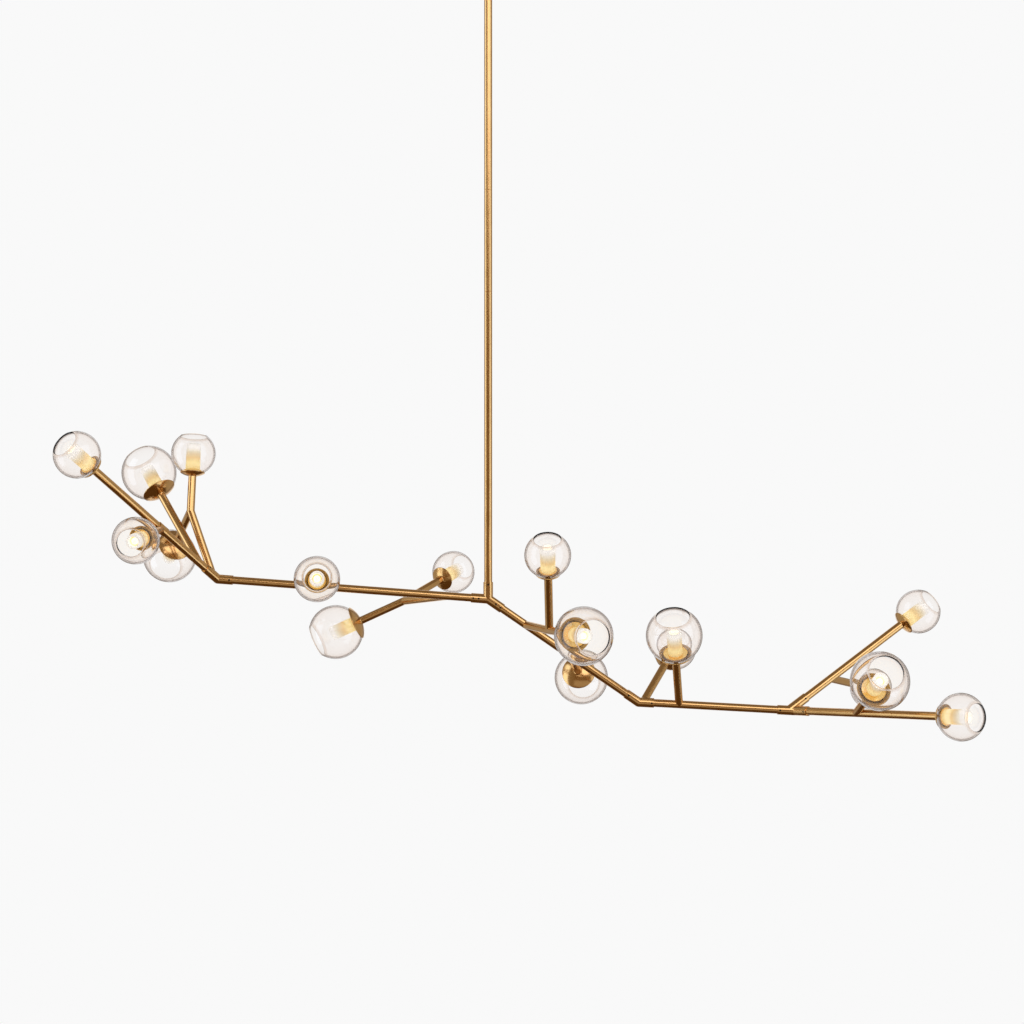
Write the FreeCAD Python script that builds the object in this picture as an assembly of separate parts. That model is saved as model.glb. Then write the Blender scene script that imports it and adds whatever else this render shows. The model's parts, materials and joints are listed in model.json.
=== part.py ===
import FreeCAD
import Part
import math
import os
from FreeCAD import Vector

os.makedirs("parts", exist_ok=True)

# Branch chandelier, millimetres, +Z up, +X to the right as seen from the front (the viewer is at -Y).
# The origin is on the ceiling, in the middle of the bracket that is screwed to the junction box.

# --- tubes -------------------------------------------------------------------
tube_radius = 8.0  # stem, arms and rods are one size of tube
tube_wall = 1.5
tube_end_chamfer = 0.4  # the fine line at each seam of the stem
fit_clearance = 0.1  # fixed pieces that slide together for assembly
turning_clearance = 0.05  # an arm in its hub sleeve, the swivel's stud and pin
seat_clearance = 0.3  # curved faces that only lie against each other
bore_radius = tube_radius - tube_wall

# --- ceiling bracket, canopy and swivel ----------------------------------------
bracket_length = 116.0
bracket_width = 22.0
bracket_thickness = 2.5
box_screw_spacing = 89.0
box_slot_length = 14.0
box_slot_half_width = 2.3
stud_spacing = 54.0
stud_radius = 2.5
stud_below_canopy = 7.0
canopy_radius = 70.0
canopy_depth = 26.0
canopy_wall = 1.6
canopy_edge_radius = 8.0
ball_nut_radius = 6.5
ball_nut_height = 10.0
bushing_radius = 8.0
bushing_flange_radius = 13.0
bushing_flange_thickness = 3.0
bushing_above_canopy = 4.0
swivel_stud_radius = 5.0
swivel_stud_bore = 3.0
retainer_radius = 9.0
retainer_thickness = 5.0
fork_base_radius = 11.0
fork_base_thickness = 5.0
fork_ear_thickness = 4.0
fork_ear_radius = 8.0
fork_throat = 12.0  # from the fork's base down to the pin's axis
pin_radius = 3.0
pin_head_radius = 4.6
pin_head_thickness = 1.6
tongue_thickness = 8.0
tongue_gap = 0.3
tongue_radius = 7.0
tongue_collar_thickness = 6.0
plug_length = 20.0
connector_radius = 5.5
connector_tip_radius = 3.5
connector_length = 15.0
connector_count = 3
connector_spacing = 16.0
connector_row = 38.0

# --- stem ----------------------------------------------------------------------
stem_top_length = 457.0
stem_middle_length = 204.0
stem_bottom_length = 600.0
joiner_length = 24.0
wire_way_radius = 4.0

# --- joint fittings --------------------------------------------------------------
sleeve_wall = 1.6
fitting_core = 14.0  # from a fitting's centre to the end of each tube in it
hub_sleeve = 34.0  # from the hub's centre to each mouth
elbow_sleeve = 31.0
tip_sleeve = 42.0
tee_sleeve = 36.0
tee_branch_sleeve = 45.0
collar_length = 24.0
screw_radius = 1.9
screw_from_mouth = 5.0
screw_pitch = 11.0
sleeve_bore = tube_radius + turning_clearance
sleeve_radius = sleeve_bore + sleeve_wall

# --- arms: turn is measured from +X towards +Y and rise from level, in degrees -----
left_arm_turn = 173.3
left_arm_rise = 3.9
left_arm_length = 555.5
right_arm_turn = 6.6
right_arm_rise = -34.5
right_arm_length = 370.0
right_middle_turn = -0.2
right_middle_rise = -3.1
right_middle_length = 316.0

# --- rods: lengths, and stations measured along the tube that carries them ---------
left_tip_length = 435.0
far_right_length = 419.0
right_high_length = 346.0
tee_from_end = 12.0  # the high rod's line leaves the middle tube this far before its end
left_fork_station = 18.0
left_fork_length = 136.0
mid_left_fork_station = 83.0
mid_left_fork_length = 148.0
centre_fork_station = 92.0
centre_fork_length = 104.0
mid_left_front_from_elbow = 205.5
centre_back_station = 203.0

# --- shades --------------------------------------------------------------------
glass_wall = 2.5
small_shade_radius = 45.0
small_mouth_radius = 28.0
small_hole_radius = 12.0
small_cup_radius = 24.5
small_ring_radius = 17.5
large_shade_radius = 56.0
large_mouth_radius = 35.0
large_hole_radius = 20.0
large_cup_radius = 34.0
large_ring_radius = 24.5
cup_wall = 2.2
cup_spigot = 12.0
ring_thickness = 3.0
ring_rim_clearance = 1.0
diffuser_radius = 14.5
diffuser_wall = 5.0
diffuser_length = 54.0
holder_length = 17.0
holder_slot_length = 9.0
holder_slot_width = 4.6
holder_slot_depth = 8.0
lamp_radius = 6.8
lamp_length = 31.0  # glass part, above the holder
lamp_base_clearance = 0.2

up = Vector(0, 0, 1)
right = Vector(1, 0, 0)


def heading(turn, rise):
    level = math.cos(math.radians(rise))
    return Vector(
        level * math.cos(math.radians(turn)),
        level * math.sin(math.radians(turn)),
        math.sin(math.radians(rise)),
    )


def aimed(shape, place, way):
    """The shape, made about the origin along +Z, set down at a place and turned to a direction."""
    shape.Placement = FreeCAD.Placement(place, FreeCAD.Rotation(up, way))
    return shape


def spun(outline):
    """A full turn about Z of a closed outline; a point is (radius, height), a bend (through, to)."""
    edges = []
    here = Vector(outline[0][0], 0, outline[0][1])
    for step in outline[1:] + outline[:1]:
        if isinstance(step[0], tuple):
            through = Vector(step[0][0], 0, step[0][1])
            there = Vector(step[1][0], 0, step[1][1])
            edges.append(Part.Arc(here, through, there).toShape())
        else:
            there = Vector(step[0], 0, step[1])
            edges.append(Part.makeLine(here, there))
        here = there
    face = Part.Face(Part.Wire(edges))
    return face.revolve(Vector(0, 0, 0), up, 360)


def rod(place, way, start, end, radius=tube_radius):
    return Part.makeCylinder(radius, end - start, place + way * start, way)


def chamfered_tube(place, way, length):
    near = tube_radius - tube_end_chamfer
    outline = [
        (bore_radius, 0),
        (near, 0),
        (tube_radius, tube_end_chamfer),
        (tube_radius, length - tube_end_chamfer),
        (near, length),
        (bore_radius, length),
    ]
    return aimed(spun(outline), place, way)


def group(solids):
    return Part.makeCompound(solids)


def save(name, shape):
    solids = shape.Solids
    for solid in solids:
        assert solid.isValid() and solid.Volume > 0, name
    shape.exportStep("parts/" + name + ".step")
    print(name, len(solids), "solids", round(shape.Volume))


class Limb:
    """A straight tube that starts on something, at a place, and runs on in a direction."""

    def __init__(self, place, turn, rise, length, base_radius=tube_radius):
        self.place = place
        self.way = heading(turn, rise)
        self.length = length
        self.base_radius = base_radius

    def at(self, station):
        return self.place + self.way * station

    def end(self):
        return self.at(self.length)

    def hollow(self, start, end, bites=()):
        solid = rod(self.place, self.way, start, end).cut(
            rod(self.place, self.way, start, end, bore_radius)
        )
        for bite in bites:
            solid = solid.cut(bite)
        return solid

    def core(self, radius, before=0.0):
        """A solid rod along the limb, to cut what is brazed to it."""
        return rod(self.place, self.way, -before, self.length, radius)


# --- heights, from the ceiling down -----------------------------------------------
canopy_floor = -canopy_depth
flange_bottom = canopy_floor - bushing_flange_thickness
fork_top = flange_bottom - seat_clearance
fork_base_bottom = fork_top - fork_base_thickness
pin_height = fork_base_bottom - fork_throat
collar_top = pin_height - fork_ear_radius - 1.0
stem_top = collar_top - tongue_collar_thickness
stem_length = stem_top_length + stem_middle_length + stem_bottom_length
hub_centre = Vector(0, 0, stem_top - stem_length - fitting_core)


# --- ceiling group ------------------------------------------------------------------
def ceiling_bracket():
    bar = Part.makeBox(
        bracket_length,
        bracket_width,
        bracket_thickness,
        Vector(-bracket_length / 2, -bracket_width / 2, -bracket_thickness),
    )
    straight = box_slot_length - 2 * box_slot_half_width
    for side in (-1, 1):
        middle = side * box_screw_spacing / 2
        low = -2 * bracket_thickness
        slot = Part.makeBox(
            straight,
            2 * box_slot_half_width,
            3 * bracket_thickness,
            Vector(middle - straight / 2, -box_slot_half_width, low),
        )
        bar = bar.cut(slot)
        for end in (-1, 1):
            place = Vector(middle + end * straight / 2, 0, low)
            bar = bar.cut(Part.makeCylinder(box_slot_half_width, 3 * bracket_thickness, place))
        place = Vector(side * stud_spacing / 2, 0, low)
        bar = bar.cut(Part.makeCylinder(stud_radius + fit_clearance, 3 * bracket_thickness, place))
    return bar


def bracket_studs():
    bottom = canopy_floor - stud_below_canopy
    return group(
        [
            Part.makeCylinder(stud_radius, -bottom, Vector(side * stud_spacing / 2, 0, bottom))
            for side in (-1, 1)
        ]
    )


def canopy():
    edge = canopy_edge_radius
    inner = canopy_radius - canopy_wall
    inner_edge = edge - canopy_wall
    floor = canopy_floor + canopy_wall
    bend = math.sqrt(0.5)
    shell = spun(
        [
            (bushing_radius + fit_clearance, canopy_floor),
            (canopy_radius - edge, canopy_floor),
            (
                (canopy_radius - edge + edge * bend, canopy_floor + edge - edge * bend),
                (canopy_radius, canopy_floor + edge),
            ),
            (canopy_radius, 0),
            (inner, 0),
            (inner, floor + inner_edge),
            (
                (inner - inner_edge + inner_edge * bend, floor + inner_edge - inner_edge * bend),
                (inner - inner_edge, floor),
            ),
            (bushing_radius + fit_clearance, floor),
        ]
    )
    for side in (-1, 1):
        place = Vector(side * stud_spacing / 2, 0, canopy_floor - 1)
        shell = shell.cut(Part.makeCylinder(stud_radius + fit_clearance, canopy_wall + 2, place))
    return shell


def canopy_nuts():
    nuts = []
    waist = ball_nut_radius * 0.75
    for side in (-1, 1):
        nut = spun(
            [
                (0, -ball_nut_height),
                (
                    (ball_nut_radius * 0.8, -ball_nut_height * 0.8),
                    (ball_nut_radius, -ball_nut_height * 0.45),
                ),
                ((ball_nut_radius * 0.95, -ball_nut_height * 0.25), (waist, -1.5)),
                (waist, 0),
                (0, 0),
            ]
        )
        nut.Placement = FreeCAD.Placement(
            Vector(side * stud_spacing / 2, 0, canopy_floor), FreeCAD.Rotation()
        )
        depth = stud_below_canopy + fit_clearance
        place = Vector(side * stud_spacing / 2, 0, canopy_floor - depth)
        nuts.append(nut.cut(Part.makeCylinder(stud_radius + fit_clearance, depth, place)))
    return group(nuts)


def swivel_bushing():
    bore = swivel_stud_radius + turning_clearance
    top = canopy_floor + canopy_wall + bushing_above_canopy
    return spun(
        [
            (bore, flange_bottom),
            (bushing_flange_radius - 1, flange_bottom),
            (bushing_flange_radius, flange_bottom + 1),
            (bushing_flange_radius, canopy_floor),
            (bushing_radius, canopy_floor),
            (bushing_radius, top),
            (bore, top),
        ]
    )


def wire_connectors():
    middle = (connector_count - 1) / 2
    floor = canopy_floor + canopy_wall + seat_clearance
    return group(
        [
            Part.makeCone(
                connector_radius,
                connector_tip_radius,
                connector_length,
                Vector((i - middle) * connector_spacing, -connector_row, floor),
            )
            for i in range(connector_count)
        ]
    )


# --- swivel ----------------------------------------------------------------------------
def retainer_bottom():
    return canopy_floor + canopy_wall + bushing_above_canopy + seat_clearance


def swivel_fork():
    stud_top = retainer_bottom() + retainer_thickness
    fork = Part.makeCylinder(
        fork_base_radius, fork_base_thickness, Vector(0, 0, fork_base_bottom)
    )
    fork = fork.fuse(
        Part.makeCylinder(swivel_stud_radius, stud_top - fork_top + 1, Vector(0, 0, fork_top - 1))
    )
    inner = tongue_thickness / 2 + tongue_gap
    for start in (inner, -inner - fork_ear_thickness):
        ear = Part.makeCylinder(fork_ear_radius, fork_ear_thickness, Vector(start, 0, pin_height), right)
        web = Part.makeBox(
            fork_ear_thickness,
            2 * fork_ear_radius,
            fork_throat + 1,
            Vector(start, -fork_ear_radius, pin_height),
        )
        fork = fork.fuse(ear).fuse(web.common(
            Part.makeCylinder(fork_base_radius, fork_throat + 1, Vector(0, 0, pin_height))
        ))
    span = 2 * (inner + fork_ear_thickness)
    hole = Part.makeCylinder(
        pin_radius + fit_clearance, span + 2, Vector(-span / 2 - 1, 0, pin_height), right
    )
    way = Part.makeCylinder(
        swivel_stud_bore, stud_top - fork_base_bottom + 2, Vector(0, 0, fork_base_bottom - 1)
    )
    return fork.cut(hole).cut(way).removeSplitter()


def swivel_retainer():
    bottom = retainer_bottom()
    ring = Part.makeCylinder(retainer_radius, retainer_thickness, Vector(0, 0, bottom))
    return ring.cut(
        Part.makeCylinder(swivel_stud_radius + fit_clearance, retainer_thickness, Vector(0, 0, bottom))
    )


def swivel_pin():
    half = tongue_thickness / 2 + tongue_gap + fork_ear_thickness + fit_clearance
    pin = Part.makeCylinder(pin_radius, 2 * half, Vector(-half, 0, pin_height), right)
    for start in (-half - pin_head_thickness, half):
        head = Part.makeCylinder(pin_head_radius, pin_head_thickness, Vector(start, 0, pin_height), right)
        pin = pin.fuse(head)
    return pin.removeSplitter()


# --- stem -------------------------------------------------------------------------------
def swivel_tongue():
    start = Vector(-tongue_thickness / 2, 0, pin_height)
    tongue = Part.makeCylinder(tongue_radius, tongue_thickness, start, right)
    drop = pin_height - collar_top + 1
    tongue = tongue.fuse(
        Part.makeBox(
            tongue_thickness,
            2 * tongue_radius,
            drop,
            Vector(-tongue_thickness / 2, -tongue_radius, collar_top - 1),
        ).common(Part.makeCylinder(tube_radius, drop, Vector(0, 0, collar_top - 1)))
    )
    tongue = tongue.fuse(
        Part.makeCylinder(tube_radius, tongue_collar_thickness, Vector(0, 0, stem_top))
    )
    tongue = tongue.fuse(
        Part.makeCylinder(
            bore_radius - fit_clearance, plug_length + 1, Vector(0, 0, stem_top - plug_length)
        )
    )
    hole = Part.makeCylinder(
        pin_radius + turning_clearance, tongue_thickness + 2, start - right, right
    )
    return tongue.cut(hole).removeSplitter()


stem_sections = [
    ("stem_top_tube", stem_top_length),
    ("stem_middle_tube", stem_middle_length),
    ("stem_bottom_tube", stem_bottom_length),
]


def stem_joiners():
    joiners = []
    seam = stem_top
    for _, length in stem_sections[:-1]:
        seam -= length
        bottom = Vector(0, 0, seam - joiner_length / 2)
        joiner = Part.makeCylinder(bore_radius - fit_clearance, joiner_length, bottom)
        joiners.append(joiner.cut(Part.makeCylinder(wire_way_radius, joiner_length, bottom)))
    return group(joiners)


# --- fittings: sleeves that meet in a ball, with a bore for each tube ------------------------
def fitting(centre, sleeves, screw_ways):
    """Sleeves are (direction, reach, place the sleeve's line starts from); screw_ways say where each
    sleeve's screws face. Returns the fitting, drilled, and its screws."""
    body = Part.makeSphere(sleeve_radius, centre)
    for way, reach, place in sleeves:
        body = body.fuse(rod(place, way, 0, reach, sleeve_radius))
        body = body.fuse(Part.makeSphere(sleeve_radius, place))
    for way, reach, place in sleeves:
        body = body.cut(rod(place, way, fitting_core, reach + 1, sleeve_bore))
        body = body.cut(rod(place, way, 0, fitting_core + 1, wire_way_radius))
    body = body.cut(Part.makeSphere(wire_way_radius, centre))
    screws = []
    for (way, reach, place), (face, count) in zip(sleeves, screw_ways):
        outwards = (face - way * face.dot(way)).normalize()
        for i in range(count):
            spot = place + way * (reach - screw_from_mouth - i * screw_pitch)
            wall_start = spot + outwards * (sleeve_bore - 1)
            hole_radius = screw_radius + fit_clearance
            body = body.cut(Part.makeCylinder(hole_radius, sleeve_wall + 3, wall_start, outwards))
            screws.append(set_screw(spot, outwards))
    return body, screws


def set_screw(spot, outwards):
    tip = spot + outwards * (sleeve_bore + fit_clearance)
    screw = Part.makeCylinder(screw_radius, sleeve_wall + seat_clearance, tip, outwards)
    socket = Part.makeCylinder(screw_radius / 2, sleeve_wall, tip + outwards, outwards)
    return screw.cut(socket)


front = Vector(0, -1, 0)
left_arm = Limb(hub_centre, left_arm_turn, left_arm_rise, left_arm_length)
right_arm = Limb(hub_centre, right_arm_turn, right_arm_rise, right_arm_length)
left_tip = Limb(left_arm.end(), -128.7, 34.2, left_tip_length)
right_middle = Limb(right_arm.end(), right_middle_turn, right_middle_rise, right_middle_length)
far_right = Limb(right_middle.end(), -51.3, 2.8, far_right_length)
tee_station = right_middle_length - tee_from_end
right_high = Limb(right_middle.at(tee_station), 15.2, 34.4, right_high_length)

left_fork = Limb(left_tip.at(left_fork_station), 172.3, 70.6, left_fork_length, sleeve_radius)
mid_left_fork = Limb(left_arm.at(mid_left_fork_station), 129.3, -5.9, mid_left_fork_length)
centre_fork = Limb(right_arm.at(centre_fork_station), -64.1, -3.1, centre_fork_length)
mid_left_front_station = left_arm_length - mid_left_front_from_elbow

# each rod that ends in a shade: its limb, the shade's size, what it is brazed to
small = "small"
large = "large"
left_heads = {
    "far_left": (left_tip, small),
    "left_high": (Limb(left_tip.at(62.0), 142.9, 51.4, 233.0), large),
    "left_upright": (Limb(left_fork.end(), 83.2, 80.1, 119.0), small),
    "left_front": (Limb(left_tip.at(182.0), -95.9, -6.6, 175.0, sleeve_radius), small),
    "left_back": (Limb(left_fork.end(), 114.3, -29.6, 191.0), large),
    "mid_left_front": (Limb(left_arm.at(mid_left_front_station), -84.3, 6.9, 170.0), small),
    "mid_left_low": (Limb(mid_left_fork.end(), 174.0, -24.5, 156.0), large),
    "mid_left_back": (Limb(mid_left_fork.end(), 53.3, 18.7, 174.0), small),
}
right_heads = {
    "centre_upright": (Limb(centre_fork.end(), -93.0, 58.3, 175.0), small),
    "centre_front": (Limb(centre_fork.end(), -69.3, -0.3, 174.0), large),
    "centre_back": (Limb(right_arm.at(centre_back_station), 81.0, -18.9, 178.0), large),
    "mid_right_front": (Limb(right_middle.at(82.0), -100.7, 56.7, 173.0), large),
    "mid_right_back": (Limb(right_middle.at(9.0), 58.3, 36.0, 171.0, sleeve_radius), small),
    "right_high": (right_high, small),
    "right_front": (Limb(far_right.at(162.0), -83.2, 25.8, 173.0), large),
    "right_back": (Limb(right_high.at(110.0), 50.5, -10.4, 170.0), small),
    "far_right": (far_right, small),
}


class ShadeSize:
    def __init__(self, radius, mouth, hole, cup, ring):
        self.radius = radius
        self.mouth = mouth
        self.hole = hole
        self.cup = cup
        self.ring = ring
        self.inner = radius - glass_wall
        self.cup_inner = radius + seat_clearance
        self.cup_outer = self.cup_inner + cup_wall
        self.ring_bottom = -math.sqrt((self.inner - seat_clearance) ** 2 - ring**2)
        self.ring_top = self.ring_bottom + ring_thickness


sizes = {
    small: ShadeSize(
        small_shade_radius, small_mouth_radius, small_hole_radius, small_cup_radius, small_ring_radius
    ),
    large: ShadeSize(
        large_shade_radius, large_mouth_radius, large_hole_radius, large_cup_radius, large_ring_radius
    ),
}


def on_ball(radius, angle):
    """A point (radius, height) on a ball's outline, at an angle up from straight down."""
    return (radius * math.sin(angle), -radius * math.cos(angle))


def shell_outline(outer, inner, start, end):
    """Part of a hollow ball from one angle to another, with round edges half a wall wide."""
    middle = (outer + inner) / 2
    lip = (outer - inner) / 2 / middle
    half = (start + end) / 2
    return [
        on_ball(outer, start),
        (on_ball(outer, half), on_ball(outer, end)),
        (on_ball(middle, end + lip), on_ball(inner, end)),
        (on_ball(inner, half), on_ball(inner, start)),
    ]


def shade(size):
    start = math.asin(size.hole / size.radius)
    end = math.pi - math.asin(size.mouth / size.radius)
    return spun(shell_outline(size.radius, size.inner, start, end))


def cup(size):
    """A shallow bowl that follows the globe, with a spigot that plugs into the rod."""
    outer = size.cup_outer
    inner = size.cup_inner
    end = math.asin(size.cup / outer)
    way = math.asin(wire_way_radius / inner)
    middle = (outer + inner) / 2
    lip = (outer - inner) / 2 / middle
    spigot = bore_radius - fit_clearance
    root = math.asin(spigot / outer)
    return spun(
        [
            (wire_way_radius, -outer - cup_spigot),
            (spigot, -outer - cup_spigot),
            on_ball(outer, root),
            (on_ball(outer, (root + end) / 2), on_ball(outer, end)),
            (on_ball(middle, end + lip), on_ball(inner, end)),
            (on_ball(inner, (way + end) / 2), on_ball(inner, way)),
        ]
    )


def shade_ring(size):
    """The disc inside the globe; its boss goes through the glass's hole and seats on the cup."""
    boss = size.hole - ring_rim_clearance
    boss_bottom = -math.sqrt(size.cup_inner**2 - boss**2) + seat_clearance
    return spun(
        [
            (wire_way_radius, boss_bottom),
            (boss, boss_bottom),
            (boss, size.ring_bottom),
            (size.ring, size.ring_bottom),
            (size.ring, size.ring_top - 0.6),
            (size.ring - 0.6, size.ring_top),
            (wire_way_radius, size.ring_top),
        ]
    )


def lampholder(size):
    radius = diffuser_radius - diffuser_wall - seat_clearance
    body = Part.makeCylinder(radius, holder_length, Vector(0, 0, size.ring_top))
    slot = Part.makeBox(
        holder_slot_length,
        holder_slot_width,
        holder_slot_depth + 1,
        Vector(
            -holder_slot_length / 2,
            -holder_slot_width / 2,
            size.ring_top + holder_length - holder_slot_depth,
        ),
    )
    return body.cut(slot)


def lamp(size):
    """A small capsule lamp whose flat base plugs into the holder's slot."""
    bottom = size.ring_top + holder_length
    shoulder = bottom + lamp_length - lamp_radius
    bend = lamp_radius * math.sqrt(0.5)
    glass = spun(
        [
            (0, bottom),
            (lamp_radius - 1, bottom),
            (lamp_radius, bottom + 1),
            (lamp_radius, shoulder),
            ((bend, shoulder + bend), (0, shoulder + lamp_radius)),
        ]
    )
    length = holder_slot_length - 2 * lamp_base_clearance
    width = holder_slot_width - 2 * lamp_base_clearance
    depth = holder_slot_depth - lamp_base_clearance
    base = Part.makeBox(length, width, depth + 1, Vector(-length / 2, -width / 2, bottom - depth))
    return glass.fuse(base).removeSplitter()


def diffuser(size):
    """A thick frosted tube that stands on the disc around the lamp, with a rounded rim."""
    bottom = size.ring_top
    top = bottom + diffuser_length
    inner = diffuser_radius - diffuser_wall
    middle = diffuser_radius - diffuser_wall / 2
    shoulder = top - diffuser_wall / 2
    return spun(
        [
            (inner, bottom),
            (diffuser_radius, bottom),
            (diffuser_radius, shoulder),
            ((middle, top), (inner, shoulder)),
        ]
    )


head_pieces = {
    "cups": cup,
    "shade_rings": shade_ring,
    "lampholders": lampholder,
    "lamps": lamp,
    "diffusers": diffuser,
}


def shade_rod(limb, size, bites=(), start=0.0):
    """The rod from what it is brazed to, or from its place in a fitting, up to the back of its cup."""
    cup_back = Part.makeSphere(size.cup_outer, limb.end())
    overlap = cup_wall  # the rod's end is hollowed to the cup's round back
    return limb.hollow(start, limb.length - size.cup_outer + overlap, list(bites) + [cup_back])


def round_ended_tube(limb):
    """A tube along the limb, closed by a round end that is centred on the limb's end."""
    bend = tube_radius * math.sqrt(0.5)
    outline = [
        (bore_radius, 0),
        (tube_radius, 0),
        (tube_radius, limb.length),
        ((bend, limb.length + bend), (0, limb.length + tube_radius)),
        (0, limb.length),
        (bore_radius, limb.length),
    ]
    return aimed(spun(outline), limb.place, limb.way)


def fork_rods(fork, parent, first, second):
    """A stem off the parent that ends in a ball, with two rods brazed to it."""
    stem = round_ended_tube(fork)
    stem = stem.cut(parent.core(fork.base_radius + fit_clearance, before=tube_radius))
    stem_core = fork.core(tube_radius + fit_clearance)
    knot = Part.makeSphere(tube_radius + fit_clearance, fork.end())
    limb, size = first
    first_rod = shade_rod(limb, sizes[size], [knot, stem_core])
    first_core = limb.core(tube_radius + fit_clearance)
    limb, size = second
    second_rod = shade_rod(limb, sizes[size], [knot, stem_core, first_core])
    return group([stem, first_rod, second_rod])


def side_rod(head, parent):
    limb, size = head
    bite = parent.core(limb.base_radius + fit_clearance, before=tube_radius)
    return shade_rod(limb, sizes[size], [bite])


save("ceiling_bracket", ceiling_bracket())
save("bracket_studs", bracket_studs())
save("canopy", canopy())
save("canopy_nuts", canopy_nuts())
save("swivel_bushing", swivel_bushing())
save("wire_connectors", wire_connectors())
save("swivel_fork", swivel_fork())
save("swivel_retainer", swivel_retainer())
save("swivel_pin", swivel_pin())
save("swivel_tongue", swivel_tongue())

section_top = stem_top
for name, length in stem_sections:
    section_top -= length
    save(name, chamfered_tube(Vector(0, 0, section_top), up, length))
save("stem_joiners", stem_joiners())

hub, hub_screws = fitting(
    hub_centre,
    [
        (up, hub_sleeve, hub_centre),
        (left_arm.way, hub_sleeve, hub_centre),
        (right_arm.way, hub_sleeve, hub_centre),
    ],
    [(front, 1), (front, 2), (front, 2)],
)
save("hub", hub)
save("hub_set_screws", group(hub_screws))

# left side
save(
    "left_arm_tube",
    left_arm.hollow(fitting_core + seat_clearance, left_arm.length - fitting_core),
)
left_elbow, left_screws = fitting(
    left_arm.end(),
    [(-left_arm.way, elbow_sleeve, left_arm.end()), (left_tip.way, tip_sleeve, left_arm.end())],
    [(front, 1), (front + up, 1)],
)
collar_place = left_heads["left_front"][0].place
collar = rod(collar_place, left_tip.way, -collar_length / 2, collar_length / 2, sleeve_radius).cut(
    rod(collar_place, left_tip.way, -collar_length / 2, collar_length / 2, sleeve_bore)
)
save("left_fittings", group([left_elbow, collar]))
save("left_set_screws", group(left_screws))
save("left_tip_rod", shade_rod(left_tip, sizes[small], start=fitting_core))
save(
    "left_fork_rods",
    fork_rods(left_fork, left_tip, left_heads["left_upright"], left_heads["left_back"]),
)
save(
    "mid_left_fork_rods",
    fork_rods(
        mid_left_fork, left_arm, left_heads["mid_left_low"], left_heads["mid_left_back"]
    ),
)
save(
    "left_side_rods",
    group(
        [
            side_rod(left_heads["left_high"], left_tip),
            side_rod(left_heads["left_front"], left_tip),
            side_rod(left_heads["mid_left_front"], left_arm),
        ]
    ),
)

# right side
save(
    "right_arm_tube",
    right_arm.hollow(fitting_core + seat_clearance, right_arm.length - fitting_core),
)
right_elbow, elbow_screws = fitting(
    right_arm.end(),
    [
        (-right_arm.way, elbow_sleeve, right_arm.end()),
        (right_middle.way, elbow_sleeve, right_arm.end()),
    ],
    [(front, 1), (front, 1)],
)
save("right_elbow", right_elbow)
save("right_middle_tube", right_middle.hollow(fitting_core, right_middle.length - fitting_core))
right_tee, tee_screws = fitting(
    right_middle.end(),
    [
        (-right_middle.way, tee_sleeve, right_middle.end()),
        (far_right.way, tee_sleeve, right_middle.end()),
        (right_high.way, tee_branch_sleeve, right_high.place),
    ],
    [(front, 1), (front, 1), (front, 1)],
)
save("right_tee", right_tee)
save("right_set_screws", group(elbow_screws + tee_screws))
save("right_high_rod", shade_rod(right_high, sizes[small], start=fitting_core))
save("far_right_tube", shade_rod(far_right, sizes[small], start=fitting_core))
save(
    "centre_fork_rods",
    fork_rods(
        centre_fork, right_arm, right_heads["centre_upright"], right_heads["centre_front"]
    ),
)
save(
    "right_side_rods",
    group(
        [
            side_rod(right_heads["centre_back"], right_arm),
            side_rod(right_heads["mid_right_front"], right_middle),
            side_rod(right_heads["mid_right_back"], right_middle),
            side_rod(right_heads["right_front"], far_right),
            side_rod(right_heads["right_back"], right_high),
        ]
    ),
)

# shades one by one, and the small pieces of all the heads on a side together
for side, heads in (("left", left_heads), ("right", right_heads)):
    for place, (limb, size) in heads.items():
        save("shade_" + place, aimed(shade(sizes[size]), limb.end(), limb.way))
    for piece, make in head_pieces.items():
        solids = [aimed(make(sizes[size]), limb.end(), limb.way) for limb, size in heads.values()]
        save(side + "_" + piece, group(solids))
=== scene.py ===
import json
import math

import bmesh
import bpy
import numpy as np
from mathutils import Matrix, Vector

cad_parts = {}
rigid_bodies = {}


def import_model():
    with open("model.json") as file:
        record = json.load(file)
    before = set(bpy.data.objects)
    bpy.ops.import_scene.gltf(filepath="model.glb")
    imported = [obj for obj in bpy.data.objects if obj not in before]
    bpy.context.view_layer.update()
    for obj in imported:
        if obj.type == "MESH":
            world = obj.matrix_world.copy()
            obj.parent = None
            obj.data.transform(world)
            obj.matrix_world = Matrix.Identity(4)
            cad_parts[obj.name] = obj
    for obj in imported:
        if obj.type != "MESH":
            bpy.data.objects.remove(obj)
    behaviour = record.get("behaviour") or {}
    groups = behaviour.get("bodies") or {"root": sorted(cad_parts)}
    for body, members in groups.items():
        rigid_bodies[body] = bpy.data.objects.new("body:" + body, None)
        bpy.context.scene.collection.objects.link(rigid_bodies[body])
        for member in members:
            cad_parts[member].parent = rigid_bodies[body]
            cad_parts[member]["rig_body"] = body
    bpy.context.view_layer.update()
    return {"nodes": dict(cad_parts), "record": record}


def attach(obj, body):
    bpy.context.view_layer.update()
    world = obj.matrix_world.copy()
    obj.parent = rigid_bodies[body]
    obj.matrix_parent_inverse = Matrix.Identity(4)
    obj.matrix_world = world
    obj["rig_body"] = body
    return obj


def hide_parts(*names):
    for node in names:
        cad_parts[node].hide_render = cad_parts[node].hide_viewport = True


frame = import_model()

nodes = frame["nodes"]
record = frame["record"]
mm = 0.001
joints = {joint["name"]: joint for joint in record["behaviour"]["joints"]}
hubHeight = joints["left_arm_turn"]["pos_m"][2]
print("frame: the packed chandelier is loaded")


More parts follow.
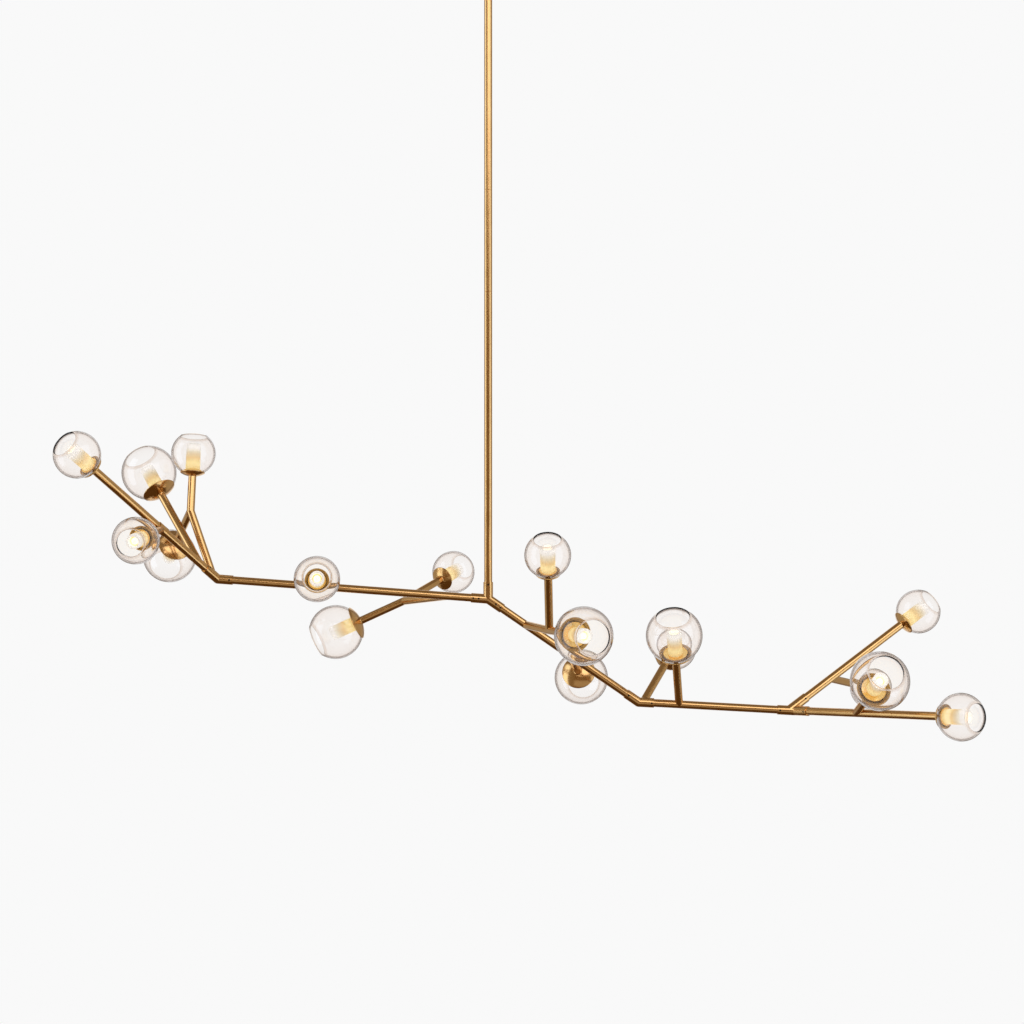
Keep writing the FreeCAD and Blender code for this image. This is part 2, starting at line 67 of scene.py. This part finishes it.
# Shader arithmetic: a Wire is one output socket, and maths on it adds Math nodes.
class Wire:
    def __init__(self, finish, socket):
        self.finish = finish
        self.socket = socket

    def math(self, operation, first, second):
        return self.finish.node("ShaderNodeMath", {"operation": operation}, {0: first, 1: second})

    def __add__(self, other):
        return self.math("ADD", self, other)

    def __radd__(self, other):
        return self.math("ADD", other, self)

    def __sub__(self, other):
        return self.math("SUBTRACT", self, other)

    def __rsub__(self, other):
        return self.math("SUBTRACT", other, self)

    def __mul__(self, other):
        return self.math("MULTIPLY", self, other)

    def __rmul__(self, other):
        return self.math("MULTIPLY", other, self)


class Finish:
    def __init__(self, owner):
        owner.use_nodes = True
        self.owner = owner
        self.tree = owner.node_tree
        self.tree.nodes.clear()

    def node(self, kind, settings=None, sockets=None, output=0):
        made = self.tree.nodes.new(kind)
        for name, value in (settings or {}).items():
            if name == "stops":
                self.fillRamp(made.color_ramp.elements, value)
            else:
                setattr(made, name, value)
        for name, value in (sockets or {}).items():
            if isinstance(value, Wire):
                self.tree.links.new(value.socket, made.inputs[name])
            else:
                made.inputs[name].default_value = value
        return Wire(self, made.outputs[output]) if len(made.outputs) else self.owner

    def fillRamp(self, elements, stops):
        while len(elements) < len(stops):
            elements.new(1.0)
        for element, (position, colour) in zip(elements, stops):
            element.position = position
            element.color = colour

    def ramp(self, factor, stops):
        return self.node("ShaderNodeValToRGB", {"stops": stops}, {"Fac": factor})

    def mixColour(self, factor, first, second):  # colours are a Mix node's inputs 6 and 7, and output 2
        return self.node("ShaderNodeMix", {"data_type": "RGBA"}, {0: factor, 6: first, 7: second}, 2)

    def smoothStep(self, value, start, end):
        sockets = {"Value": value, "From Min": start, "From Max": end}
        return self.node("ShaderNodeMapRange", {"interpolation_type": "SMOOTHSTEP"}, sockets)

    def place(self):
        return self.node("ShaderNodeTexCoord", output="Object")

    def noise(self, scale, detail=3.0):
        sockets = {"Vector": self.place(), "Scale": scale, "Detail": detail}
        return self.node("ShaderNodeTexNoise", {}, sockets)

    def attribute(self, name):
        return self.node("ShaderNodeAttribute", {"attribute_name": name}, output="Fac")

    def bump(self, height, strength, distance):
        sockets = {"Height": height, "Strength": strength, "Distance": distance}
        return self.node("ShaderNodeBump", {}, sockets)

    def principled(self, sockets):
        return self.node("ShaderNodeBsdfPrincipled", {}, sockets)

    def show(self, shader, volume=None):
        sockets = {"Surface": shader}
        if volume:
            sockets["Volume"] = volume
        return self.node("ShaderNodeOutputMaterial", {}, sockets)


def newFinish(name):
    return Finish(bpy.data.materials.new(name))


# Finishes
brassLook = {
    "roughness": 0.19,
    "roughnessSpread": 0.07,
    "mottleScale": 24.0,  # per metre: soft clouds about 40 mm across in the lacquered brass
    "grainScale": 1600.0,
    "grainStrength": 0.35,
    "grainDepth": 0.003 * mm,
    "coat": 0.08,
    "coatRoughness": 0.12,
    "groovePitch": 0.8 * mm,  # lathe lines on the cups and discs
    "grooveStrength": 0.5,
    "grooveDepth": 0.002 * mm,
    "bowlDepth": 1.2 * mm,  # inside, up to this deep in their wall, the cups are rougher, less metallic and a brighter gold: painted lamplight in the bowls
    "bowlBlend": 0.4 * mm,
    "bowl": (0.86, 0.52, 0.17, 1.0),
    "bowlMetal": 0.35,
    "bowlRoughness": 0.3,  # on top of the brass's own
}
brassColours = {  # the clouds' two colours
    "tube": ((0.60, 0.335, 0.115, 1.0), (0.74, 0.44, 0.175, 1.0)),
    # the discs are a lighter gold than the tubes: painted light from the glowing frosted tubes
    "disc": ((0.83, 0.53, 0.15, 1.0), (0.94, 0.66, 0.25, 1.0)),
}


def brass(name, colours, turned=False, paintedLightInside=False):
    finish = newFinish(name)
    mottle = finish.noise(brassLook["mottleScale"])
    grain = finish.noise(brassLook["grainScale"], detail=2.0)
    colour = finish.mixColour(mottle, *colours)
    unevenness = grain * 0.5 + mottle * 0.5 - 0.5  # from -0.5 to 0.5
    roughness = brassLook["roughness"] + unevenness * brassLook["roughnessSpread"]
    metallic = 1.0
    if turned:
        phase = finish.attribute("fromAxis") * (2 * math.pi / brassLook["groovePitch"])
        groove = finish.node("ShaderNodeMath", {"operation": "SINE"}, {0: phase})
        normal = finish.bump(groove, brassLook["grooveStrength"], brassLook["grooveDepth"])
    else:
        normal = finish.bump(grain, brassLook["grainStrength"], brassLook["grainDepth"])
    # painted light: the bowl of the cup takes a brighter, less metallic gold where it would lie in shade
    if paintedLightInside:
        start = brassLook["bowlDepth"] - brassLook["bowlBlend"]
        end = brassLook["bowlDepth"] + brassLook["bowlBlend"]
        outside = finish.smoothStep(finish.attribute("depth"), start, end)
        colour = finish.mixColour(outside, brassLook["bowl"], colour)
        roughness = roughness + (1 - outside) * brassLook["bowlRoughness"]
        metallic = outside * (1 - brassLook["bowlMetal"]) + brassLook["bowlMetal"]
    shader = finish.principled(
        {
            "Base Color": colour,
            "Metallic": metallic,
            "Roughness": roughness,
            "Normal": normal,
            "Coat Weight": brassLook["coat"],
            "Coat Roughness": brassLook["coatRoughness"],
        }
    )
    return finish.show(shader)


glassLook = {
    "outline": [  # painted shade: the glass's colour darkens where it is seen edge on, drawing the dark edges that reflections give thin glass
        (0.0, (1.0, 0.993, 0.985, 1.0)),
        (0.5, (0.99, 0.965, 0.945, 1.0)),
        (0.635, (0.92, 0.86, 0.82, 1.0)),
        (0.73, (0.19, 0.145, 0.125, 1.0)),
        (1.0, (0.10, 0.075, 0.065, 1.0)),
    ],
    "rim": (0.86, 0.78, 0.72, 1.0),  # the fire-polished bead, coloured darker than the wall: painted shade that draws the mouth as a thin line
    "rimStart": 0.945,  # share of the globe's height
    "rimBlend": 0.02,
    "index": 1.45,
    "absorbColour": (0.78, 0.46, 0.30, 1.0),
    "absorbDensity": 14.0,  # per metre of glass
    "rippleScale": 22.0,
    "rippleStrength": 0.25,
    "rippleDepth": 0.03 * mm,
}


def clearGlass():
    finish = newFinish("clear_glass")
    ripple = finish.noise(glassLook["rippleScale"], detail=1.0)
    # painted shade: the Layer Weight's facing darkens the glass's colour toward its edges
    facing = finish.node("ShaderNodeLayerWeight", {}, {"Blend": 0.5}, "Facing")
    rimStart = glassLook["rimStart"]
    # painted shade: the bead near the mouth takes the darker rim colour
    rim = finish.smoothStep(finish.attribute("along"), rimStart, rimStart + glassLook["rimBlend"])
    colour = finish.mixColour(rim, finish.ramp(facing, glassLook["outline"]), glassLook["rim"])
    shader = finish.principled(
        {
            "Base Color": colour,
            "Roughness": 0.0,
            "IOR": glassLook["index"],
            "Transmission Weight": 1.0,
            "Normal": finish.bump(ripple, glassLook["rippleStrength"], glassLook["rippleDepth"]),
        }
    )
    absorbs = {"Color": glassLook["absorbColour"], "Density": glassLook["absorbDensity"]}
    return finish.show(shader, finish.node("ShaderNodeVolumeAbsorption", {}, absorbs))


frostLook = {
    "base": [  # the frosted glass's colour along the tube, from the disc to the open end: painted lamplight makes it golden towards the disc, and the frost's own pale white is at the open end
        (0.0, (0.92, 0.73, 0.41, 1.0)),
        (0.25, (0.94, 0.79, 0.44, 1.0)),
        (0.45, (0.86, 0.68, 0.35, 1.0)),
        (0.62, (0.86, 0.76, 0.53, 1.0)),
        (0.85, (0.95, 0.93, 0.90, 1.0)),
    ],
    "glow": [  # the lamp's light in the tube, along it in the same way
        (0.0, (1.0, 0.80, 0.28, 1.0)),
        (0.25, (1.0, 0.86, 0.38, 1.0)),
        (0.45, (0.60, 0.36, 0.11, 1.0)),
        (0.62, (0.42, 0.33, 0.20, 1.0)),
        (0.85, (0.60, 0.585, 0.55, 1.0)),
    ],
    "glowStrength": 0.36,
    "transmission": 0.1,
    "roughness": 0.5,
    "roughnessSpread": 0.1,
    "grainScale": 1400.0,
    "grainStrength": 0.4,
    "grainDepth": 0.002 * mm,
}


def frostedGlass():
    finish = newFinish("frosted_glass")
    grain = finish.noise(frostLook["grainScale"], detail=2.0)
    along = finish.attribute("along")
    shader = finish.principled(
        {
            # painted lamplight: this colour ramp is golden near the disc
            "Base Color": finish.ramp(along, frostLook["base"]),
            "Roughness": frostLook["roughness"] + grain * frostLook["roughnessSpread"],
            "Transmission Weight": frostLook["transmission"],
            "Emission Color": finish.ramp(along, frostLook["glow"]),
            "Emission Strength": frostLook["glowStrength"],
            "Normal": finish.bump(grain, frostLook["grainStrength"], frostLook["grainDepth"]),
        }
    )
    return finish.show(shader)


lampLook = {
    "cloudScale": 180.0,
    "colours": ((1.0, 0.86, 0.62, 1.0), (1.0, 0.95, 0.85, 1.0)),
    "roughness": 0.3,
    "glowStrength": 0.55,
}


def lampGlass():
    finish = newFinish("lamp_glass")
    cloud = finish.noise(lampLook["cloudScale"], detail=1.0)
    colour = finish.mixColour(cloud, *lampLook["colours"])
    shader = finish.principled(
        {
            "Base Color": colour,
            "Roughness": lampLook["roughness"],
            "Emission Color": colour,
            "Emission Strength": lampLook["glowStrength"],
        }
    )
    return finish.show(shader)


steelGrain = {
    "scale": 420.0,
    "strength": 0.3,
    "depth": 0.03 * mm,
    "roughness": 0.28,
    "roughnessSpread": 0.18,
    "metallic": 1.0,
    "coat": 0.0,
}
grainedLooks = {  # the finishes of the hidden and small pieces: two colours and a fine grain
    "zinc_steel": {**steelGrain, "colours": ((0.46, 0.47, 0.48, 1.0), (0.62, 0.62, 0.60, 1.0))},
    "blackened_steel": {**steelGrain, "colours": ((0.03, 0.025, 0.02, 1.0), (0.07, 0.06, 0.05, 1.0))},
    "ceramic": {
        "scale": 650.0,
        "strength": 0.2,
        "depth": 0.04 * mm,
        "roughness": 0.3,
        "roughnessSpread": 0.15,
        "metallic": 0.0,
        "coat": 0.4,
        "colours": ((0.80, 0.77, 0.70, 1.0), (0.88, 0.86, 0.80, 1.0)),
    },
    "connector_plastic": {
        "scale": 800.0,
        "strength": 0.3,
        "depth": 0.05 * mm,
        "roughness": 0.38,
        "roughnessSpread": 0.15,
        "metallic": 0.0,
        "coat": 0.0,
        "colours": ((0.62, 0.22, 0.05, 1.0), (0.74, 0.30, 0.08, 1.0)),
    },
}


def grained(name):
    look = grainedLooks[name]
    finish = newFinish(name)
    grain = finish.noise(look["scale"])
    shader = finish.principled(
        {
            "Base Color": finish.mixColour(grain, *look["colours"]),
            "Metallic": look["metallic"],
            "Roughness": look["roughness"] + grain * look["roughnessSpread"],
            "Coat Weight": look["coat"],
            "Normal": finish.bump(grain, look["strength"], look["depth"]),
        }
    )
    return finish.show(shader)


finishes = {
    "satin_brass": brass("satin_brass", brassColours["tube"]),
    "zinc_steel": grained("zinc_steel"),
    "clear_glass": clearGlass(),
    "frosted_glass": frostedGlass(),
    "lamp_glass": lampGlass(),
    "ceramic": grained("ceramic"),
    "connector_plastic": grained("connector_plastic"),
}
cupBrass = brass("cup_brass", brassColours["tube"], turned=True, paintedLightInside=True)
discBrass = brass("disc_brass", brassColours["disc"], turned=True)
blackenedSteel = grained("blackened_steel")
for part in record["subparts"]:
    node = nodes[part["node"]]
    node.data.materials.clear()
    screws = part["node"].endswith("set_screws")
    node.data.materials.append(blackenedSteel if screws else finishes[part["material_slot"]])
print("finishes: every packed node has its material")


# Heads: where each globe is, which way its mouth faces and how large it is, read from the frame
def sphereThrough(points):  # the centre and radius that fit best
    system = np.c_[2 * points, np.ones(len(points))]
    fit = np.linalg.lstsq(system, (points**2).sum(1), rcond=None)[0]
    return fit[:3], math.sqrt(fit[3] + fit[:3] @ fit[:3])


globeSizes = {"skin": 0.2 * mm, "largeFrom": 50.0 * mm}  # skin: how near a wall its points are taken


class Head:
    def __init__(self, node, mouthBox):
        points = np.array([vertex.co for vertex in nodes[node].data.vertices])
        centre = sphereThrough(points)[0]
        distance = np.linalg.norm(points - centre, axis=1)
        outside = points[distance > distance.max() - globeSizes["skin"]]
        inside = points[distance < distance.min() + globeSizes["skin"]]
        centre, self.radius = sphereThrough(outside)
        self.inner = np.linalg.norm(inside - centre, axis=1).mean()
        mouth = (Vector(mouthBox[0]) + Vector(mouthBox[1])) / 2
        self.node = node
        self.body = nodes[node]["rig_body"]
        self.centre = Vector(centre)
        self.way = (mouth - self.centre).normalized()
        along = (outside - centre) @ np.array(self.way)
        self.mouth = math.sqrt(self.radius**2 - along.max() ** 2)
        self.hole = math.sqrt(self.radius**2 - along.min() ** 2)  # the disc's boss goes through
        turn = self.way.to_track_quat("Z", "Y").to_matrix().to_4x4()
        self.place = Matrix.Translation(self.centre) @ turn
        self.size = "large" if self.radius > globeSizes["largeFrom"] else "small"


mouthBoxes = {}
for opening in record["physics"]["openings"]:
    mouthBoxes[opening["name"].replace("mouth_of_", "")] = opening["box_m"]
heads = [Head(name, mouthBoxes[name]) for name in sorted(nodes) if name.startswith("shade_")]
print("heads:", len(heads), "globes found")


# Shapes turned on a lathe: a point is its distance from the axis and its height, and an arc's angle
# starts straight down and opens outwards
def onArc(radius, angle, centre=(0.0, 0.0)):
    return (centre[0] + radius * math.sin(angle), centre[1] - radius * math.cos(angle))


def arc(radius, start, end, count, centre=(0.0, 0.0)):
    return [onArc(radius, start + (end - start) * i / count, centre) for i in range(count + 1)]


turnedShape = {"weld": 0.001 * mm, "sharpAngle": 40.0}


def lathe(outline, steps):
    bm = bmesh.new()
    fromAxis = bm.verts.layers.float.new("fromAxis")
    along = bm.verts.layers.float.new("along")
    depth = bm.verts.layers.float.new("depth")  # out from the surface that is nearest the middle
    low = min(height for _, height in outline)
    high = max(height for _, height in outline)
    nearest = min(math.hypot(*point) for point in outline)
    ring = []
    for radius, height in outline:
        vertex = bm.verts.new((radius, 0.0, height))
        vertex[fromAxis] = radius
        vertex[along] = (height - low) / (high - low)
        vertex[depth] = math.hypot(radius, height) - nearest
        ring.append(vertex)
    edges = [bm.edges.new(pair) for pair in zip(ring, ring[1:] + ring[:1])]
    bmesh.ops.spin(
        bm,
        geom=ring + edges,
        cent=(0.0, 0.0, 0.0),
        axis=(0.0, 0.0, 1.0),
        angle=2 * math.pi,
        steps=steps,
        use_merge=True,
    )
    bmesh.ops.remove_doubles(bm, verts=bm.verts, dist=turnedShape["weld"])
    bmesh.ops.recalc_face_normals(bm, faces=bm.faces)
    mesh = bpy.data.meshes.new("turned")
    bm.to_mesh(mesh)
    bm.free()
    return mesh


def placeMesh(name, bm, material):
    mesh = bpy.data.meshes.new(name)
    bm.to_mesh(mesh)
    bm.free()
    mesh.materials.append(material)
    placed = bpy.data.objects.new(name, mesh)
    bpy.context.scene.collection.objects.link(placed)
    return placed


def makePiece(name, shapes, material, body, replaced):
    bm = bmesh.new()
    for shape, place in shapes:
        before = len(bm.verts)
        bm.from_mesh(shape)
        bm.verts.ensure_lookup_table()
        bmesh.ops.transform(bm, matrix=place, verts=bm.verts[before:])
    piece = placeMesh(name, bm, material)
    piece.data.shade_smooth()
    piece.data.set_sharp_from_angle(angle=math.radians(turnedShape["sharpAngle"]))
    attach(piece, body)
    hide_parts(replaced)


# Globes: blown glass with a fire-polished bead at the mouth
globeShape = {"steps": 128, "arcPoints": 56, "lipPoints": 16, "bead": 1.5 * mm}


def globeOutline(head):
    wall = (head.radius - head.inner) / 2
    middle = head.radius - wall
    bead = globeShape["bead"]
    holeAngle = math.asin(head.hole / head.radius)
    mouthAngle = math.pi - math.asin(head.mouth / head.radius)
    neck = math.sqrt(bead**2 - wall**2) / middle  # how far back the walls meet the bead
    turn = math.pi - math.asin(wall / bead)  # how far the bead goes round each way
    ahead = mouthAngle + math.pi / 2
    beadAt = onArc(middle, mouthAngle)
    holeAt = onArc(middle, holeAngle)
    outer = arc(head.radius, holeAngle, mouthAngle - neck, globeShape["arcPoints"])
    lip = arc(bead, ahead - turn, ahead + turn, globeShape["lipPoints"], beadAt)
    inner = arc(head.inner, mouthAngle - neck, holeAngle, globeShape["arcPoints"])
    holeLip = arc(wall, holeAngle + math.pi, holeAngle + 2 * math.pi, globeShape["lipPoints"] // 2, holeAt)
    return outer + lip[1:-1] + inner + holeLip[1:-1]


firstOf = {head.size: head for head in heads}  # one head of each size stands for the rest
globes = {size: lathe(globeOutline(head), globeShape["steps"]) for size, head in firstOf.items()}
for head in heads:
    name = head.node.replace("shade_", "globe_")
    shapes = [(globes[head.size], head.place)]
    makePiece(name, shapes, finishes["clear_glass"], head.body, head.node)
print("globes: done")


# Cups, discs and frosted tubes: the same three in every head
cupShape = {
    "rim": {"small": 24.5 * mm, "large": 34.0 * mm},
    "seat": 0.3 * mm,  # between the glass and the cup
    "wall": 2.2 * mm,
    "wireWay": 4.0 * mm,
    "rod": 8.0 * mm,
    "rodOverlap": 0.2 * mm,
    "braze": 1.6 * mm,  # the fillet where the rod meets the cup
    "covePoints": 5,
    "domePoints": 28,
    "lipPoints": 8,
    "steps": 96,
}
discShape = {
    "radius": {"small": 17.5 * mm, "large": 24.5 * mm},
    "thickness": 3.0 * mm,
    "lip": 0.8 * mm,
    "lipWidth": 1.2 * mm,
    "edge": 0.3 * mm,  # the small bevels
    "bossClearance": 1.0 * mm,
    "lipPoints": 8,
    "steps": 80,
}
tubeShape = {
    "radius": 14.5 * mm,
    "wall": 5.0 * mm,
    "length": 54.0 * mm,
    "foot": 0.6 * mm,  # the bevel at the foot
    "levels": 12,
    "rimPoints": 10,
    "steps": 72,
}


def discBottom(head):
    return -math.sqrt((head.inner - cupShape["seat"]) ** 2 - discShape["radius"][head.size] ** 2)


def cupOutline(head):
    inner = head.radius + cupShape["seat"]
    outer = inner + cupShape["wall"]
    wall = cupShape["wall"] / 2
    rimAngle = math.asin(cupShape["rim"][head.size] / outer)
    braze = cupShape["braze"]
    rootAngle = math.asin((cupShape["rod"] + braze) / outer)
    rimAt = onArc(outer - wall, rimAngle)
    rootHeight = -outer * math.cos(rootAngle) - braze
    back = [(cupShape["wireWay"], rootHeight), (cupShape["rod"] - cupShape["rodOverlap"], rootHeight)]
    coveAt = (cupShape["rod"] + braze, rootHeight)
    cove = arc(braze, math.pi * 1.5, math.pi, cupShape["covePoints"], coveAt)
    dome = arc(outer, rootAngle, rimAngle, cupShape["domePoints"])
    lip = arc(wall, rimAngle, rimAngle + math.pi, cupShape["lipPoints"], rimAt)
    bowl = arc(inner, rimAngle, math.asin(cupShape["wireWay"] / inner), cupShape["domePoints"])
    return back + cove[:-1] + dome + lip[1:-1] + bowl


def discOutline(head):
    radius = discShape["radius"][head.size]
    bottom = discBottom(head)
    top = bottom + discShape["thickness"]
    edge = discShape["edge"]
    inside = radius - discShape["lipWidth"]
    boss = head.hole - discShape["bossClearance"]
    bossBottom = cupShape["seat"] - math.sqrt((head.radius + cupShape["seat"]) ** 2 - boss**2)
    lipRadius = discShape["lipWidth"] / 2
    lipMiddle = (radius - lipRadius, top + discShape["lip"])
    lipTop = arc(lipRadius, math.pi / 2, math.pi * 1.5, discShape["lipPoints"], lipMiddle)
    return [
        (cupShape["wireWay"], bossBottom),
        (boss, bossBottom),
        (boss, bottom),
        (radius - edge, bottom),
        (radius, bottom + edge),
        *lipTop,
        (inside, top + edge),
        (inside - edge, top),
        (cupShape["wireWay"], top),
    ]


def tubeOutline(head):
    bottom = discBottom(head) + discShape["thickness"]
    radius = tubeShape["radius"]
    inner = radius - tubeShape["wall"]
    rimRadius = tubeShape["wall"] / 2
    foot = tubeShape["foot"]
    levels = tubeShape["levels"]
    shoulder = bottom + tubeShape["length"] - rimRadius
    rise = shoulder - bottom - foot
    outside = [(radius, bottom + foot + rise * i / levels) for i in range(levels + 1)]
    inside = [(inner, height) for _, height in reversed(outside)]
    rimMiddle = (radius - rimRadius, shoulder)
    rim = arc(rimRadius, math.pi / 2, math.pi * 1.5, tubeShape["rimPoints"], rimMiddle)
    return [(inner, bottom), (radius - foot, bottom), *outside, *rim[1:-1], *inside]


def makeSet(kind, outline, steps, material):
    turned = {size: lathe(outline(head), steps) for size, head in firstOf.items()}
    for side in ("left", "right"):
        body = side + "_branches"
        shapes = [(turned[head.size], head.place) for head in heads if head.body == body]
        makePiece(side + "_turned_" + kind, shapes, material, body, side + "_" + kind)


makeSet("cups", cupOutline, cupShape["steps"], cupBrass)
makeSet("shade_rings", discOutline, discShape["steps"], discBrass)
makeSet("diffusers", tubeOutline, tubeShape["steps"], finishes["frosted_glass"])
print("heads: cups, discs and frosted tubes done")


# Camera: the photograph's viewpoint, level and a little above the hub
cameraPlace = {"side": 0.0476, "distance": 4.0, "aboveHub": 0.174, "lens": 70.31, "seesTo": 60.0}
camera = bpy.data.objects.new("camera", bpy.data.cameras.new("camera"))
camera.location = (cameraPlace["side"], -cameraPlace["distance"], hubHeight + cameraPlace["aboveHub"])
camera.rotation_euler = (math.pi / 2, 0.0, 0.0)
camera.data.lens = cameraPlace["lens"]
camera.data.clip_end = cameraPlace["seesTo"]
bpy.context.scene.collection.objects.link(camera)
bpy.context.scene.camera = camera


# Studio: pale floor, white surround and soft lamps; the metal and glass mirror a tent of far cloths
# and lit panels, which is open at the back to the white surround
studio = {
    "paper": 0.947,  # the white that the camera sees
    "plain": 0.36,  # what lights the object from all round
    "floorHeight": -2.7,
    "floorRadius": 2.1,
    "floorSides": 96,
    "floorFade": (0.9, 1.932),  # between these distances the floor thins out into the surround
    "floorColour": (0.80, 0.80, 0.80, 1.0),
    "floorLift": 0.55,  # what the camera sees on top of the floor's own light, to match the paper
    "floorGrain": {"scale": 60.0, "strength": 0.05, "depth": 0.2 * mm},
    "lampColour": (1.0, 0.98, 0.95),
}
softBoxes = {  # place, size across and up, power; each faces the object
    "soft_box_left": ((-2.9, -0.9, hubHeight + 0.2), (1.2, 3.0), 12.0),
    "soft_box_right": ((2.4, -1.9, hubHeight + 0.2), (1.2, 3.0), 12.0),
    "soft_box_front": ((0.1, -3.3, hubHeight + 1.6), (4.0, 1.4), 26.0),
}
tent = {"clothDistance": 12.0, "panelDistance": 9.0}
cloths = {  # degrees: turn from the front to the right, rise, width, height; then the colour
    "cloth_front": (0, 0, 62, 84, (0.24, 0.16, 0.09)),
    "cloth_front_left": (-60, 0, 62, 84, (0.28, 0.22, 0.15)),
    "cloth_front_right": (60, 0, 62, 84, (0.28, 0.22, 0.15)),
    "cloth_left": (-120, 0, 62, 84, (0.48, 0.46, 0.42)),
    "cloth_right": (120, 0, 62, 84, (0.48, 0.46, 0.42)),
    "cloth_back_left": (-157, 0, 16, 84, (0.30, 0.27, 0.24)),
    "cloth_back_right": (157, 0, 16, 84, (0.30, 0.27, 0.24)),
    "cloth_above": (0, 90, 104, 104, (0.26, 0.22, 0.175)),
    "cloth_below": (0, -90, 104, 104, (0.11, 0.06, 0.022)),
}
panels = {  # the same, nearer and lit
    "panel_left": (-76, 4, 32, 84, (1.75, 2.05, 2.45)),
    "panel_right": (60, 0, 36, 92, (1.45, 1.65, 1.95)),
    "panel_front_high": (16, 29, 66, 28, (2.15, 2.15, 2.35)),
    "panel_front_low": (8, -23, 76, 28, (0.5, 0.46, 0.42)),
}
aim = Vector((0.03, 0.0, hubHeight))  # what the lamps and the tent face


def facingAim(place):
    return (Vector(place) - aim).to_track_quat("Z", "Y")


def hangCloth(name, distance, turn, rise, width, height, colour):
    # each cloth and panel gives off its colour as light and shows only in reflections: painted reflections
    # of a studio tent
    sheetGlow = newFinish(name)
    sheetGlow.show(sheetGlow.node("ShaderNodeEmission", {}, {"Color": (*colour, 1.0), "Strength": 1.0}))
    bm = bmesh.new()
    bmesh.ops.create_grid(bm, x_segments=1, y_segments=1, size=distance)
    across = math.tan(math.radians(width / 2))
    tall = math.tan(math.radians(height / 2))
    bmesh.ops.scale(bm, vec=(across, tall, 1.0), verts=bm.verts)
    cloth = placeMesh(name, bm, sheetGlow.owner)
    turn, rise = math.radians(turn), math.radians(rise)
    way = Vector((math.sin(turn) * math.cos(rise), -math.cos(turn) * math.cos(rise), math.sin(rise)))
    cloth.location = aim + way * distance
    cloth.rotation_mode = "QUATERNION"
    cloth.rotation_quaternion = facingAim(cloth.location)
    cloth.visible_camera = False
    cloth.visible_diffuse = False
    cloth.visible_transmission = False
    cloth.visible_shadow = False


for name, cloth in cloths.items():
    hangCloth(name, tent["clothDistance"], *cloth)
for name, panel in panels.items():
    hangCloth(name, tent["panelDistance"], *panel)

for name, (place, size, power) in softBoxes.items():
    light = bpy.data.lights.new(name, "AREA")
    light.shape = "RECTANGLE"
    light.size, light.size_y = size
    light.energy = power
    light.color = studio["lampColour"]
    lamp = bpy.data.objects.new(name, light)
    lamp.location = place
    lamp.rotation_mode = "QUATERNION"
    lamp.rotation_quaternion = facingAim(place)
    lamp.visible_camera = False
    lamp.visible_glossy = False
    lamp.visible_transmission = False
    bpy.context.scene.collection.objects.link(lamp)


# 1 for the camera's rays and for those that metal mirrors or glass lets through, otherwise 0
def seesBackground(finish):
    path = "ShaderNodeLightPath"
    direct = finish.node(path, output="Is Camera Ray")
    mirrored = finish.node(path, output="Is Glossy Ray")
    through = finish.node(path, output="Is Transmission Ray")
    return finish.node("ShaderNodeClamp", {}, {"Value": direct + mirrored + through})


world = bpy.data.worlds.new("surround")
bpy.context.scene.world = world
surround = Finish(world)
level = studio["plain"] + (studio["paper"] - studio["plain"]) * seesBackground(surround)
sky = surround.node("ShaderNodeBackground", {}, {"Color": (1.0, 1.0, 1.0, 1.0), "Strength": level})
surround.node("ShaderNodeOutputWorld", {}, {"Surface": sky})
world.cycles.sampling_method = "NONE"  # the surround is even, so no map of it is needed


def makeFloor():
    finish = newFinish("floor_paper")
    grain = studio["floorGrain"]
    normal = finish.bump(finish.noise(grain["scale"]), grain["strength"], grain["depth"])
    paper = finish.node("ShaderNodeBsdfDiffuse", {}, {"Color": studio["floorColour"], "Normal": normal})
    glow = {"Color": (1.0, 1.0, 1.0, 1.0), "Strength": seesBackground(finish) * studio["floorLift"]}
    lift = finish.node("ShaderNodeEmission", {}, glow)
    pale = finish.node("ShaderNodeAddShader", {}, {0: paper, 1: lift})
    away = finish.node("ShaderNodeVectorMath", {"operation": "LENGTH"}, {0: finish.place()}, "Value")
    fade = finish.smoothStep(away, *studio["floorFade"])
    under = finish.node("ShaderNodeNewGeometry", output="Backfacing")
    gone = finish.node("ShaderNodeMath", {"operation": "MAXIMUM"}, {0: fade, 1: under})
    clear = finish.node("ShaderNodeBsdfTransparent")
    material = finish.show(finish.node("ShaderNodeMixShader", {}, {"Fac": gone, 1: pale, 2: clear}))
    bm = bmesh.new()
    radius, sides = studio["floorRadius"], studio["floorSides"]
    bmesh.ops.create_circle(bm, cap_ends=True, radius=radius, segments=sides)
    floor = placeMesh("floor", bm, material)
    floor.location = (0.0, 0.0, studio["floorHeight"])
    # the metal mirrors the dark cloth below in place of the floor: painted dark reflections under the
    # tubes
    floor.visible_glossy = False


makeFloor()
print("studio: camera, lights and floor set")

view = bpy.context.scene.view_settings
view.view_transform = "Standard"
